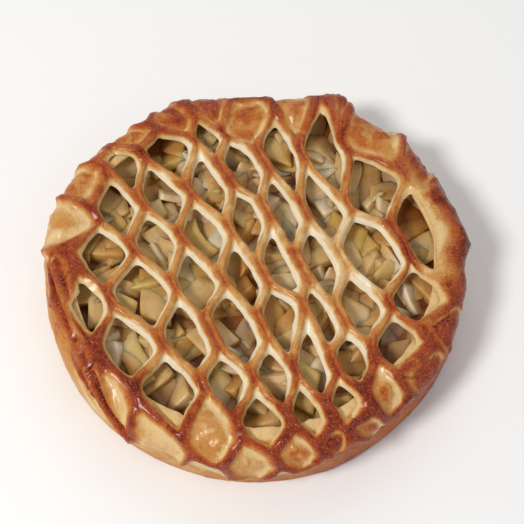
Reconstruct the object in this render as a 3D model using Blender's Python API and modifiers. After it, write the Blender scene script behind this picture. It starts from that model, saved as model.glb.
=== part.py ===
import math
import random

import bmesh
import bpy
import numpy as np
from mathutils import Matrix, Vector

# driving sizes in metres, angles in degrees
RIM_EVENNESS = 0.990
RIM_WAVES = [
    (91, -0.083, 19), (133, -0.033, 11), (23, -0.019, 9), (58, -0.033, 8), (64, 0.060, 6.5),
    (41, 0.019, 4), (168, 0.017, 11), (310, -0.013, 13), (281, 0.011, 22), (5, 0.014, 5),
]
WAVE_START = 0.050
WAVE_FULL = 0.110
WAVE_AT_BASE = 0.45
WAVE_HEIGHT = 0.028

CREST_RADIUS = 0.101
CREST_HEIGHT = 0.0385
SIDE_RADIUS = 0.1165
SIDE_HEIGHT = 0.0190
SAG_RADIUS = 0.083
SAG_HEIGHT = 0.0335
DOME_RISE = 0.0015

SHELL_FLOOR = 0.0070
SHELL_WALL_RADIUS = 0.1040
SHELL_LIP_RADIUS = 0.0925
FOOT_RADIUS = 0.1085
SHELL_TURNS = 60

NET_THICK_MIDDLE = 0.0060
NET_THICK_EDGE = 0.0042
NET_GAP = 0.0004
NET_GAP_OVER_RIM = 0.0014
STRAND_SHOULDER = 0.0013
NET_EDGE = 0.1180
NET_EDGE_WAVES = [
    (266, 0.015, 20), (312, 0.006, 16), (176, 0.004, 9), (22, 0.003, 12), (215, -0.002, 14),
]
STRAND_HALF_WIDTH = 0.0034
JOIN_HALF_WIDTH = 0.0046
JOIN_HALF_LENGTH = 0.0038
RIM_MARGIN = 0.0045
CLOSED_SLITS = [(3, -4), (5, -5), (6, -5), (7, -4), (-1, -1)]
HOLE_REACH = 0.1165

FILL_RADIUS = 0.0960
FILL_TOP = 0.0262
FILL_DOME = 0.0012
FILL_GAP = 0.0004
CHUNK_COUNT = 88
CHUNK_TOP = 0.0312
SEED = 24

# the slit net: where each column of slits lies across and each row lies along, in mm
COLUMN_ACROSS = {
    -8: -171.0, -7: -159.0, -6: -147.0, -5: -135.0, -4: -123.1, -3: -109.2, -2: -88.6, -1: -74.5,
    0: -62.3, 1: -48.5, 2: -35.8, 3: -26.8, 4: -15.4, 5: -6.4, 6: 5.4, 7: 15.2, 8: 31.4, 9: 43.5,
    10: 64.4, 11: 70.1, 12: 84.0, 13: 97.0, 14: 110.0, 15: 123.0,
}
ROW_ALONG = {
    -5: 150.0, -4: 132.0, -3: 114.0, -2: 92.0, -1: 76.6, 0: 65.6, 1: 35.7, 2: 10.1, 3: -17.5,
    4: -46.6, 5: -72.7, 6: -101.4, 7: -118.7, 8: -138.0, 9: -156.0, 10: -174.0,
}
ROW_SHIFT = 12.029
ROW_CLOSING = -0.495
RISE_PER_COLUMN = [4.986, -0.139, 0.033]
RISE_WITH_ROW = [-1.635, -0.026, 0.218]
# joins that stand off the even net, mm across and along
PULLED_JOINS = {
    (3, -3): (4.0, 9.0), (4, -4): (1.5, 1.0), (4, 0): (0.7, 10.7), (-1, 2): (8.1, 0.8),
    (7, -4): (0.0, 7.7), (3, -1): (-0.6, 7.4), (7, -1): (-7.1, 1.8), (5, -3): (-1.0, -7.1),
    (3, -2): (-0.7, 6.6), (7, -3): (0.4, -6.6), (5, -4): (-1.4, -6.2), (6, 1): (-6.0, 0.9),
    (0, 0): (-5.2, 0.4), (6, -3): (5.1, 0.0), (2, -2): (-2.8, -4.0), (2, -1): (-1.1, 4.6),
    (7, 0): (-0.4, -4.6),
}
# joins where two strands lie together for longer, half length in mm
LONG_JOINS = {
    (3, 0): 14.5, (3, 1): 15.7, (4, -1): 17.0, (5, -1): 12.0, (4, -2): 7.2, (2, -1): 10.4,
    (2, 2): 9.4, (3, -2): 7.9, (3, -1): 6.6, (5, -2): 8.2, (6, -3): 13.2, (5, 0): 8.5,
    (6, -1): 7.9, (6, 0): 6.3, (5, 1): 7.5, (4, -4): 9.0,
}


def make_material(name, colour, roughness):
    material = bpy.data.materials.new(name)
    material.use_nodes = True
    shader = material.node_tree.nodes["Principled BSDF"]
    shader.inputs["Base Color"].default_value = (*colour, 1.0)
    shader.inputs["Roughness"].default_value = roughness
    return material


def rim_factor(angle):
    # evenness + sum of size * exp(-(turn / width) ^ 2) over the waves
    degrees = np.degrees(angle)
    factor = np.full_like(degrees, RIM_EVENNESS)
    for centre, size, width in RIM_WAVES:
        turn = (degrees - centre + 180.0) % 360.0 - 180.0
        factor = factor + size * np.exp(-(turn / width) ** 2)
    return factor


def waved(points):
    # x and y grow by 1 + (factor - 1) * smoothstep(radius) * (share at the base rising to 1 with height)
    radius = np.hypot(points[:, 0], points[:, 1])
    angle = np.arctan2(points[:, 1], points[:, 0])
    step = np.clip((radius - WAVE_START) / (WAVE_FULL - WAVE_START), 0.0, 1.0)
    step = step * step * (3.0 - 2.0 * step)
    rise = np.clip(points[:, 2] / WAVE_HEIGHT, 0.0, 1.0)
    rise = rise * rise * (3.0 - 2.0 * rise)
    share = WAVE_AT_BASE + (1.0 - WAVE_AT_BASE) * rise
    grow = 1.0 + (rim_factor(angle) - 1.0) * step * share
    out = points.copy()
    out[:, 0] *= grow
    out[:, 1] *= grow
    return out


def bed_profile(count):
    # radius and height of the bed under the net, by length along it from the middle
    inner = np.linspace(0.0, CREST_RADIUS, count)
    step = np.clip((inner - SAG_RADIUS) / (CREST_RADIUS - SAG_RADIUS), 0.0, 1.0)
    step = step * step * (3.0 - 2.0 * step)
    dome = DOME_RISE * np.clip(1.0 - (inner / SAG_RADIUS) ** 2, 0.0, 1.0)
    inner_height = SAG_HEIGHT + (CREST_HEIGHT - SAG_HEIGHT) * step + dome
    turn = np.linspace(0.0, math.pi / 2.0, count)[1:]
    outer = CREST_RADIUS + (SIDE_RADIUS - CREST_RADIUS) * np.sin(turn) ** 0.9
    outer_height = SIDE_HEIGHT + (CREST_HEIGHT - SIDE_HEIGHT) * np.cos(turn) ** 0.9
    down = np.linspace(SIDE_HEIGHT, 0.004, 81)[1:]
    radius = np.concatenate([inner, outer, np.full(80, SIDE_RADIUS)])
    height = np.concatenate([inner_height, outer_height, down])
    length = np.concatenate([[0.0], np.cumsum(np.hypot(np.diff(radius), np.diff(height)))])
    return length, radius, height


BED_LENGTH, BED_RADIUS, BED_HEIGHT = bed_profile(600)
BED_OUT = -np.gradient(BED_HEIGHT, BED_LENGTH)
BED_UP = np.gradient(BED_RADIUS, BED_LENGTH)


def draped(across, along, lift):
    # sheet point at polar length laid on the bed, lifted along the bed's normal
    length = np.hypot(across, along)
    angle = np.arctan2(along, across)
    radius = np.interp(length, BED_LENGTH, BED_RADIUS)
    height = np.interp(length, BED_LENGTH, BED_HEIGHT)
    out = np.interp(length, BED_LENGTH, BED_OUT)
    up = np.interp(length, BED_LENGTH, BED_UP)
    size = np.hypot(out, up)
    radius = radius + lift * out / size
    height = height + lift * up / size
    return np.stack([radius * np.cos(angle), radius * np.sin(angle), height], axis=-1)


def net_edge(angle):
    # length from the middle to the net's outer edge
    degrees = np.degrees(angle)
    edge = np.full_like(degrees, NET_EDGE)
    for centre, size, width in NET_EDGE_WAVES:
        turn = (degrees - centre + 180.0) % 360.0 - 180.0
        edge = edge + size * np.exp(-(turn / width) ** 2)
    ripple = 0.0012 * np.sin(np.radians(degrees) * 17.0)
    return edge + ripple + 0.0008 * np.sin(np.radians(degrees) * 29.0)


def join_place(a, b):
    # column place + row shift across; row place + rise by column along
    column = a - b
    row = a + b
    across = COLUMN_ACROSS[column] + ROW_SHIFT * row + ROW_CLOSING * row ** 2
    along = ROW_ALONG[row] + RISE_PER_COLUMN[0] * column + RISE_PER_COLUMN[1] * column ** 2
    along += RISE_PER_COLUMN[2] * column ** 3
    along += column * row * (RISE_WITH_ROW[0] + RISE_WITH_ROW[1] * column + RISE_WITH_ROW[2] * row)
    pull = PULLED_JOINS.get((a, b), (0.0, 0.0))
    return np.array([across + pull[0], along + pull[1]]) * 0.001


def join_ends(a, b):
    # the top and the bottom end of a join, along the mean run of its strands
    above = 0.5 * (join_place(a - 1, b) + join_place(a, b - 1))
    below = 0.5 * (join_place(a + 1, b) + join_place(a, b + 1))
    run = (below - above) / np.linalg.norm(below - above)
    half = LONG_JOINS.get((a, b), JOIN_HALF_LENGTH * 1000.0) * 0.001
    place = join_place(a, b)
    return place - run * half, place + run * half


def slit_corners(a, b):
    # six ridge corners round one slit: top, right pair, bottom, left pair
    top = join_ends(a, b)[1]
    right_top, right_bottom = join_ends(a + 1, b)
    bottom = join_ends(a + 1, b + 1)[0]
    left_top, left_bottom = join_ends(a, b + 1)
    return np.array([top, right_top, right_bottom, bottom, left_bottom, left_top])


def inset(corners, widths):
    # each side moved in by its width, corners where neighbouring sides meet
    count = len(corners)
    middle = corners.mean(axis=0)
    lines = []
    for k in range(count):
        start = corners[k]
        run = corners[(k + 1) % count] - start
        run = run / np.linalg.norm(run)
        normal = np.array([-run[1], run[0]])
        if np.dot(middle - start, normal) < 0.0:
            normal = -normal
        lines.append((start + normal * widths[k], run))
    moved = []
    for k in range(count):
        start, run = lines[k - 1]
        other, turn = lines[k]
        cross = run[0] * turn[1] - run[1] * turn[0]
        gap = other - start
        if abs(cross) < 0.05:
            moved.append(0.5 * (start + other))
            continue
        moved.append(start + run * (gap[0] * turn[1] - gap[1] * turn[0]) / cross)
    return np.array(moved)


def rounded(corners, cuts, steps):
    # each corner as one quadratic arc between points set back by its cut
    count = len(corners)
    points = []
    for k in range(count):
        corner = corners[k]
        start = corner + cuts[k] * (corners[k - 1] - corner)
        end = corner + cuts[k] * (corners[(k + 1) % count] - corner)
        for step in range(steps):
            t = step / (steps - 1.0)
            points.append((1 - t) ** 2 * start + 2 * t * (1 - t) * corner + t * t * end)
    return np.array(points)


def area(points):
    x, y = points[:, 0], points[:, 1]
    return 0.5 * float(np.sum(x * np.roll(y, -1) - y * np.roll(x, -1)))


def slit_outline(a, b, steps):
    corners = slit_corners(a, b)
    breadth = abs(0.5 * (corners[1] + corners[2] - corners[4] - corners[5])[0])
    strand = min(STRAND_HALF_WIDTH, 0.27 * breadth)
    join = min(JOIN_HALF_WIDTH, 0.34 * breadth)
    widths = [strand, join, strand, strand, join, strand]
    moved = inset(corners, widths)
    if moved[1][0] - moved[5][0] < 0.0015 or moved[2][0] - moved[4][0] < 0.0015:
        return None
    if moved[0][1] - moved[3][1] < 0.006:
        return None
    return rounded(moved, [0.20, 0.40, 0.40, 0.20, 0.40, 0.40], steps)


def kept_inside(points):
    # holes that near the net's edge are drawn in to leave a margin
    length = np.hypot(points[:, 0], points[:, 1])
    angle = np.arctan2(points[:, 1], points[:, 0])
    limit = net_edge(angle) - RIM_MARGIN
    scale = np.minimum(1.0, limit / np.maximum(length, 1e-6))
    return points * scale[:, None], scale.min()


def spaced(points, least):
    # neighbouring points nearer than the least step are dropped
    kept = [points[0]]
    for point in points[1:]:
        if np.linalg.norm(point - kept[-1]) >= least:
            kept.append(point)
    while len(kept) > 3 and np.linalg.norm(kept[0] - kept[-1]) < least:
        kept.pop()
    return np.array(kept)


def net_holes(steps):
    holes = []
    for a in range(-2, 9):
        for b in range(-6, 6):
            if not (-5 <= a - b <= 12 and -3 <= a + b <= 7) or (a, b) in CLOSED_SLITS:
                continue
            outline = slit_outline(a, b, steps)
            if outline is None:
                continue
            centre = outline.mean(axis=0)
            reach = float(np.hypot(*centre))
            if reach > HOLE_REACH:
                continue
            full = abs(area(outline))
            drawn, scale = kept_inside(outline)
            drawn = spaced(drawn, 0.0009)
            if len(drawn) < 6 or abs(area(drawn)) < 0.000030 or abs(area(drawn)) < 0.42 * full:
                continue
            holes.append(((a, b), drawn))
    return holes


def add_loop(curve, points):
    spline = curve.splines.new("POLY")
    spline.points.add(len(points) - 1)
    for target, point in zip(spline.points, points):
        target.co = (float(point[0]), float(point[1]), 0.0, 1.0)
    spline.use_cyclic_u = True


def finish_object(name, mesh, material, collection):
    item = bpy.data.objects.new(name, mesh)
    collection.objects.link(item)
    mesh.materials.clear()
    mesh.materials.append(material)
    mesh.name = name
    return item


def outward(mesh):
    work = bmesh.new()
    work.from_mesh(mesh)
    bmesh.ops.remove_doubles(work, verts=work.verts, dist=0.00002)
    bmesh.ops.dissolve_degenerate(work, dist=0.00002, edges=work.edges)
    bmesh.ops.triangulate(work, faces=[f for f in work.faces if len(f.verts) > 4])
    bmesh.ops.recalc_face_normals(work, faces=work.faces)
    if work.calc_volume(signed=True) < 0.0:
        bmesh.ops.reverse_faces(work, faces=work.faces)
    work.to_mesh(mesh)
    work.free()
    mesh.update()


def move_points(mesh, function):
    count = len(mesh.vertices)
    flat = np.empty(count * 3)
    mesh.vertices.foreach_get("co", flat)
    moved = function(flat.reshape(count, 3))
    mesh.vertices.foreach_set("co", moved.reshape(-1))
    mesh.update()


def mesh_of(item):
    # the evaluated shape of an object as a mesh of its own
    bpy.context.view_layer.update()
    graph = bpy.context.evaluated_depsgraph_get()
    mesh = bpy.data.meshes.new_from_object(item.evaluated_get(graph))
    mesh.transform(item.matrix_world)
    return mesh


def lean_walls(work):
    # the top of each wall stands back from its slit, so that strands narrow upward
    moves = []
    for vert in work.verts:
        walls = [f for f in vert.link_faces if abs(f.normal.z) < 0.5]
        if vert.co.z > 0.0 and walls:
            away = Vector((0.0, 0.0, 0.0))
            for face in walls:
                away += face.normal * face.calc_area()
            moves.append((vert, away.normalized() * -STRAND_SHOULDER))
    for vert, move in moves:
        vert.co += move


def make_net(collection, material):
    curve = bpy.data.curves.new("net_outline", "CURVE")
    curve.dimensions = "2D"
    curve.fill_mode = "BOTH"
    curve.extrude = 0.5 * NET_THICK_MIDDLE
    angle = np.radians(np.arange(0.0, 360.0, 3.0))
    edge = net_edge(angle)
    add_loop(curve, np.stack([edge * np.cos(angle), edge * np.sin(angle)], axis=-1))
    for _, hole in net_holes(3):
        add_loop(curve, hole)
    flat = bpy.data.objects.new("net_outline", curve)
    collection.objects.link(flat)
    mesh = mesh_of(flat)
    bpy.data.objects.remove(flat)
    bpy.data.curves.remove(curve)
    work = bmesh.new()
    work.from_mesh(mesh)
    bmesh.ops.remove_doubles(work, verts=work.verts, dist=0.00005)
    bmesh.ops.recalc_face_normals(work, faces=work.faces)
    lean_walls(work)
    bmesh.ops.triangulate(work, faces=work.faces, quad_method="BEAUTY", ngon_method="BEAUTY")
    for limit in (0.016, 0.0115):
        long_edges = []
        for item in work.edges:
            first, last = item.verts[0].co, item.verts[1].co
            middle = 0.5 * (first + last)
            reach = math.hypot(middle.x, middle.y)
            span = math.hypot(first.x - last.x, first.y - last.y)
            if abs(first.z - last.z) < 0.001 and span > limit and reach > 0.082:
                long_edges.append(item)
        if long_edges:
            bmesh.ops.subdivide_edges(work, edges=long_edges, cuts=1, use_grid_fill=False)
            bmesh.ops.triangulate(work, faces=[f for f in work.faces if len(f.verts) > 3])
        flat_faces = [f for f in work.faces if abs(f.normal.z) > 0.9]
        flat_edges = [e for e in work.edges if len(e.link_faces) == 2
                      and all(abs(f.normal.z) > 0.9 for f in e.link_faces)]
        bmesh.ops.beautify_fill(work, faces=flat_faces, edges=flat_edges)
    work.to_mesh(mesh)
    work.free()

    def lay(points):
        length = np.hypot(points[:, 0], points[:, 1])
        share = np.clip((length - 0.075) / 0.040, 0.0, 1.0)
        thick = NET_THICK_MIDDLE + (NET_THICK_EDGE - NET_THICK_MIDDLE) * share
        under = NET_GAP + (NET_GAP_OVER_RIM - NET_GAP) * np.clip((length - 0.085) / 0.01, 0.0, 1.0)
        share = points[:, 2] / NET_THICK_MIDDLE + 0.5
        lift = under + (thick - under) * share
        return waved(draped(points[:, 0], points[:, 1], lift))

    move_points(mesh, lay)
    outward(mesh)
    return finish_object("lattice_top", mesh, material, collection)


def profile_object(name, points, collection):
    mesh = bpy.data.meshes.new(name)
    edges = [(k, k + 1) for k in range(len(points) - 1)]
    mesh.from_pydata([(r, 0.0, z) for r, z in points], edges, [])
    item = bpy.data.objects.new(name, mesh)
    collection.objects.link(item)
    turn = item.modifiers.new("turned", "SCREW")
    turn.axis = "Z"
    turn.angle = math.tau
    turn.steps = SHELL_TURNS
    turn.render_steps = SHELL_TURNS
    turn.use_merge_vertices = True
    turn.merge_threshold = 0.0001
    return item


def turned_mesh(name, points, collection):
    item = profile_object(name, points, collection)
    mesh = mesh_of(item)
    old = item.data
    bpy.data.objects.remove(item)
    bpy.data.meshes.remove(old)
    outward(mesh)
    return mesh


def make_shell(collection, material):
    points = [(0.0, SHELL_FLOOR), (SHELL_WALL_RADIUS - 0.004, SHELL_FLOOR)]
    points += [(SHELL_WALL_RADIUS - 0.001, SHELL_FLOOR + 0.002)]
    points += [(SHELL_WALL_RADIUS, SHELL_FLOOR + 0.006), (SHELL_WALL_RADIUS, 0.024)]
    points += [(SHELL_WALL_RADIUS - 0.003, 0.0292), (SHELL_LIP_RADIUS + 0.003, 0.0318)]
    points += [(SHELL_LIP_RADIUS, 0.0332)]
    for length in (0.0925, 0.0965, 0.1005, 0.1040, 0.1075, 0.1110, 0.1145, 0.1180, 0.1220, 0.1270):
        radius = float(np.interp(length, BED_LENGTH, BED_RADIUS))
        points.append((radius, float(np.interp(length, BED_LENGTH, BED_HEIGHT))))
    points += [(SIDE_RADIUS, 0.012), (SIDE_RADIUS - 0.0005, 0.006), (SIDE_RADIUS - 0.003, 0.002)]
    points += [(FOOT_RADIUS, 0.0), (0.0, 0.0)]
    mesh = turned_mesh("crust_shell", points, collection)
    move_points(mesh, waved)
    return finish_object("crust_shell", mesh, material, collection)


def make_chunk(index, place, source, collection):
    # apple dice, slices and wedges by turns, cut as pieces of 8 to 18 mm
    size = (source.uniform(0.010, 0.017), source.uniform(0.008, 0.013), source.uniform(0.006, 0.010))
    kind = index % 3
    work = bmesh.new()
    if kind == 2:
        bmesh.ops.create_cone(work, cap_ends=True, segments=3, radius1=0.5, radius2=0.5, depth=1.0)
        size = (size[0] * 1.05, size[1] * 1.15, size[2])
    else:
        bmesh.ops.create_cube(work, size=1.0)
    if kind == 1:
        size = (size[0] * 1.15, size[1], size[2] * 0.6)
    turn = Matrix.Rotation(source.uniform(0, math.tau), 4, "Z")
    tip = Matrix.Rotation(source.uniform(-0.55, 0.55), 4, "X")
    tip = tip @ Matrix.Rotation(source.uniform(-0.45, 0.45), 4, "Y")
    grow = Matrix.Diagonal((*size, 1.0))
    bmesh.ops.transform(work, matrix=turn @ tip @ grow, verts=work.verts)
    highest = max(v.co.z for v in work.verts)
    lowest = min(v.co.z for v in work.verts)
    top = CHUNK_TOP - source.uniform(0.0, 0.0035)
    centre_height = min(top - highest, FILL_TOP + source.uniform(-0.0005, 0.0015))
    centre_height = min(centre_height, FILL_TOP - 0.0012 - lowest)
    bmesh.ops.translate(work, verts=work.verts, vec=(place[0], place[1], centre_height))
    bmesh.ops.recalc_face_normals(work, faces=work.faces)
    mesh = bpy.data.meshes.new(f"chunk_{index:02d}")
    work.to_mesh(mesh)
    work.free()
    item = bpy.data.objects.new(mesh.name, mesh)
    collection.objects.link(item)
    return item


def chunk_places(source):
    # a sunflower spread with small shifts, so that the pieces lie evenly but not in rows
    places = []
    for k in range(CHUNK_COUNT):
        radius = 0.0835 * math.sqrt((k + 0.5) / CHUNK_COUNT)
        angle = k * math.radians(137.508)
        places.append((radius * math.cos(angle) + source.uniform(-0.002, 0.002),
                       radius * math.sin(angle) + source.uniform(-0.002, 0.002)))
    return places


def make_filling(collection, material):
    source = random.Random(SEED)
    bottom = SHELL_FLOOR + FILL_GAP
    points = [(0.0, FILL_TOP + FILL_DOME), (0.030, FILL_TOP + FILL_DOME * 0.8)]
    points += [(0.060, FILL_TOP + FILL_DOME * 0.4), (0.086, FILL_TOP)]
    points += [(FILL_RADIUS - 0.002, FILL_TOP - 0.001), (FILL_RADIUS + 0.003, FILL_TOP - 0.004)]
    points += [(SHELL_WALL_RADIUS - 0.0009, 0.0190), (SHELL_WALL_RADIUS - 0.0009, SHELL_FLOOR + 0.0070)]
    points += [(SHELL_WALL_RADIUS - 0.0050, bottom), (0.0, bottom)]
    core_mesh = turned_mesh("apple_filling", points, collection)
    core = finish_object("apple_filling", core_mesh, material, collection)
    pieces = bpy.data.collections.new("apple_pieces")
    bpy.context.scene.collection.children.link(pieces)
    for index, place in enumerate(chunk_places(source)):
        make_chunk(index, place, source, pieces)
    fuse = core.modifiers.new("fused", "BOOLEAN")
    fuse.operation = "UNION"
    fuse.operand_type = "COLLECTION"
    fuse.collection = pieces
    fuse.solver = "EXACT"
    fuse.use_self = False
    mesh = mesh_of(core)
    name = core.name
    bpy.data.objects.remove(core)
    bpy.data.meshes.remove(core_mesh)
    for item in list(pieces.objects):
        data = item.data
        bpy.data.objects.remove(item)
        bpy.data.meshes.remove(data)
    bpy.data.collections.remove(pieces)
    outward(mesh)
    mesh = largest_part(mesh)
    move_points(mesh, waved)
    return finish_object(name, mesh, material, collection)


def largest_part(mesh):
    # only the biggest joined body is kept
    work = bmesh.new()
    work.from_mesh(mesh)
    work.verts.ensure_lookup_table()
    seen = set()
    groups = []
    for start in work.verts:
        if start.index in seen:
            continue
        stack = [start]
        group = []
        seen.add(start.index)
        while stack:
            vert = stack.pop()
            group.append(vert)
            for edge in vert.link_edges:
                other = edge.other_vert(vert)
                if other.index not in seen:
                    seen.add(other.index)
                    stack.append(other)
        groups.append(group)
    groups.sort(key=len)
    for group in groups[:-1]:
        bmesh.ops.delete(work, geom=group, context="VERTS")
    work.to_mesh(mesh)
    work.free()
    return mesh


def main():
    for item in list(bpy.data.objects):
        bpy.data.objects.remove(item)
    parts = bpy.data.collections.new("apple_pie")
    bpy.context.scene.collection.children.link(parts)
    crust = make_material("baked_crust", (0.62, 0.33, 0.12), 0.5)
    glazed = make_material("glazed_crust", (0.66, 0.32, 0.10), 0.38)
    apple = make_material("cooked_apple", (0.78, 0.66, 0.36), 0.42)
    make_shell(parts, crust)
    make_filling(parts, apple)
    make_net(parts, glazed)
    for item in parts.objects:
        for polygon in item.data.polygons:
            polygon.use_smooth = item.name == "crust_shell"
        print(item.name, len(item.data.vertices), len(item.data.polygons))


main()
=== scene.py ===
import math
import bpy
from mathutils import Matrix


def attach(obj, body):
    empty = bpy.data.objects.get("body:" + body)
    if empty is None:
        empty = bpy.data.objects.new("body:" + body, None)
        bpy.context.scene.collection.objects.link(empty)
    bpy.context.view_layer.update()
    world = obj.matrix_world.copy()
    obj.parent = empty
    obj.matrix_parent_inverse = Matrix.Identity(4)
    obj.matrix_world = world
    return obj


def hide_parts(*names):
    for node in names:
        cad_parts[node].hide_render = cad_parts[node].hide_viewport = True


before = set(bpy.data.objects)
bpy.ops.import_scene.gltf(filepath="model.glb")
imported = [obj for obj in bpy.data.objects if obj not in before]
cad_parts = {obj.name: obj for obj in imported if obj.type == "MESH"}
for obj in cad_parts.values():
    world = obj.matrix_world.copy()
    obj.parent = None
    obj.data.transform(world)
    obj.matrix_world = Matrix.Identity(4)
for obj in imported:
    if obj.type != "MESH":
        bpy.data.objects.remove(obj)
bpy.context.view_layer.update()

from types import SimpleNamespace

import bmesh
import bpy
import numpy as np
from mathutils import Vector

# the pie's own sizes, in metres, as its solids have them; angles in degrees, 0 at +X
pie = {
    "evenness": 0.990,
    "rimWaves": [
        (91, -0.083, 19), (133, -0.033, 11), (23, -0.019, 9), (58, -0.033, 8), (64, 0.060, 6.5),
        (41, 0.019, 4), (168, 0.017, 11), (310, -0.013, 13), (281, 0.011, 22), (5, 0.014, 5),
    ],
    "waveStart": 0.050,
    "waveFull": 0.110,
    "waveAtBase": 0.45,
    "waveHeight": 0.028,
    "crestRadius": 0.101,
    "crestHeight": 0.0385,
    "sideRadius": 0.1165,
    "sideHeight": 0.0190,
    "sagRadius": 0.083,
    "sagHeight": 0.0335,
    "domeRise": 0.0015,
    "roundness": 0.9,
    "footHeight": 0.004,
    "bedSteps": 600,
    "sideSteps": 80,
}


def smoothStep(value, low, high):
    # 3t^2 - 2t^3 with t running from 0 at low to 1 at high
    t = np.clip((value - low) / (high - low), 0.0, 1.0)
    return t * t * (3.0 - 2.0 * t)


def bump(value, centre, width):
    # exp(-((value - centre) / width)^2)
    return np.exp(-(((value - centre) / width) ** 2))


def mixed(first, second, share):
    return first * (1.0 - share) + second * share


def turnFrom(angle, centre):
    # degrees from centre, between -180 and 180
    return (np.degrees(angle) - centre + 180.0) % 360.0 - 180.0


def sideBump(angle, centre, width):
    # a bump round the pie, centre and width in degrees
    return bump(turnFrom(angle, centre), 0.0, width)


def hashed(cells, seed):
    # one number from 0 to 1 for each whole-number cell, by multiplying and folding bits
    x = cells[..., 0].astype(np.uint32) * np.uint32(374761393)
    y = cells[..., 1].astype(np.uint32) * np.uint32(668265263)
    z = cells[..., 2].astype(np.uint32) * np.uint32(2246822519)
    value = x + y + z + np.uint32(seed * 3266489917 & 0xFFFFFFFF)
    value = (value ^ (value >> np.uint32(13))) * np.uint32(1274126177)
    value = value ^ (value >> np.uint32(16))
    return value.astype(np.float64) / 4294967295.0


def softNoise(points, size, seed):
    # values on a lattice of the given size, blended by smoothstep, from -1 to 1
    grid = points / size + 1000.0
    low = np.floor(grid)
    part = grid - low
    part = part * part * (3.0 - 2.0 * part)
    low = low.astype(np.int64)
    total = 0.0
    for corner in range(8):
        offset = np.array([corner & 1, (corner >> 1) & 1, (corner >> 2) & 1])
        share = np.prod(np.where(offset == 1, part, 1.0 - part), axis=-1)
        total = total + share * hashed(low + offset, seed)
    return total * 2.0 - 1.0


def layeredNoise(points, size, seed):
    # soft noise, half as much at half the size and a quarter at a quarter, from -1 to 1
    shares = (1.0, 0.5, 0.25)
    layers = [share * softNoise(points, size * share, seed + k * 17) for k, share in enumerate(shares)]
    return sum(layers) / sum(shares)


def waves(angle, table):
    # sum of size * bump round the pie, for each centre, size and width
    return sum(size * sideBump(angle, centre, width) for centre, size, width in table)


def patches(length, angle, table):
    # sum of size * bump round * bump along, for each centre, width, length, spread and size
    total = np.zeros_like(length)
    for centre, width, place, spread, size in table:
        total = total + size * sideBump(angle, centre, width) * bump(length, place, spread)
    return total


def polar(points):
    # distance from the middle, and angle round it
    return np.hypot(points[..., 0], points[..., 1]), np.arctan2(points[..., 1], points[..., 0])


def waved(points):
    # x and y grow by the rim factor, fading in with radius and with height
    radius, angle = polar(points)
    rise = smoothStep(points[..., 2], 0.0, pie["waveHeight"])
    share = pie["waveAtBase"] + (1.0 - pie["waveAtBase"]) * rise
    swing = pie["evenness"] - 1.0 + waves(angle, pie["rimWaves"])
    grow = 1.0 + swing * smoothStep(radius, pie["waveStart"], pie["waveFull"]) * share
    return points * np.stack([grow, grow, np.ones_like(grow)], axis=-1)


def bedProfile():
    # length, radius and height along the bed: sagging dome, climb to the crest, quarter turn, upright side
    crest, side = pie["crestRadius"], pie["sideRadius"]
    inner = np.linspace(0.0, crest, pie["bedSteps"])
    dome = pie["domeRise"] * np.clip(1.0 - (inner / pie["sagRadius"]) ** 2, 0.0, 1.0)
    climb = (pie["crestHeight"] - pie["sagHeight"]) * smoothStep(inner, pie["sagRadius"], crest)
    turn = np.linspace(0.0, math.pi / 2.0, pie["bedSteps"])[1:]
    outer = crest + (side - crest) * np.sin(turn) ** pie["roundness"]
    fall = (pie["crestHeight"] - pie["sideHeight"]) * np.cos(turn) ** pie["roundness"]
    down = np.linspace(pie["sideHeight"], pie["footHeight"], pie["sideSteps"] + 1)[1:]
    radius = np.concatenate([inner, outer, np.full(len(down), side)])
    height = np.concatenate([pie["sagHeight"] + climb + dome, pie["sideHeight"] + fall, down])
    length = np.concatenate([[0.0], np.cumsum(np.hypot(np.diff(radius), np.diff(height)))])
    return length, radius, height


bedLength, bedRadius, bedHeight = bedProfile()
bedOut = -np.gradient(bedHeight, bedLength)
bedUp = np.gradient(bedRadius, bedLength)

# swellings of the dough: degrees round, width in degrees, length from the middle, width, lift
swells = [
    (6, 26, 0.110, 0.009, 0.0022),
    (-27, 2.6, 0.119, 0.0045, 0.0036),
    (160, 22, 0.110, 0.008, 0.0012),
    (210, 20, 0.118, 0.010, 0.0008),
    (64, 7, 0.112, 0.006, 0.0012),
]


def draped(sheet, lift):
    # sheet point at polar length laid on the bed, lifted along the bed's normal
    length, angle = polar(sheet)
    out = np.interp(length, bedLength, bedOut)
    up = np.interp(length, bedLength, bedUp)
    rise = (lift + patches(length, angle, swells)) / np.hypot(out, up)
    radius = np.interp(length, bedLength, bedRadius) + rise * out
    height = np.interp(length, bedLength, bedHeight) + rise * up
    return waved(np.stack([radius * np.cos(angle), radius * np.sin(angle), height], axis=-1))


def carriedRound(radius, height, turns):
    # a profile's points at each turn round the middle: their angles and places
    angles = np.linspace(0.0, math.tau, turns + 1)[:-1, None] + np.zeros_like(radius)
    places = np.stack([radius * np.cos(angles), radius * np.sin(angles), height + 0.0 * angles], axis=-1)
    return angles, places


def loopFaces(shape):
    # a quad between each two neighbours of the last axis, closed round the axis before it
    grid = np.arange(math.prod(shape)).reshape(shape)
    follow = np.roll(grid, -1, axis=-2)
    return np.stack([grid[..., :-1], follow[..., :-1], follow[..., 1:], grid[..., 1:]], axis=-1)


# in metres and square metres: points nearer than this are one, faces smaller than this are none
weldReach = 0.000004
leastArea = 1e-14


def closeSeams(work):
    # where a piece's top and bottom run out on one line, slivers fill what stands open between them
    seam = [edge for edge in work.edges if edge.is_boundary]
    slivers = bmesh.ops.holes_fill(work, edges=seam, sides=0)["faces"]
    inward = []
    for face in slivers:
        against = sum(not edge.is_contiguous for edge in face.edges)
        if against > len(face.edges) / 2:
            inward.append(face)
    bmesh.ops.reverse_faces(work, faces=inward)
    bmesh.ops.triangulate(work, faces=slivers)


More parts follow.
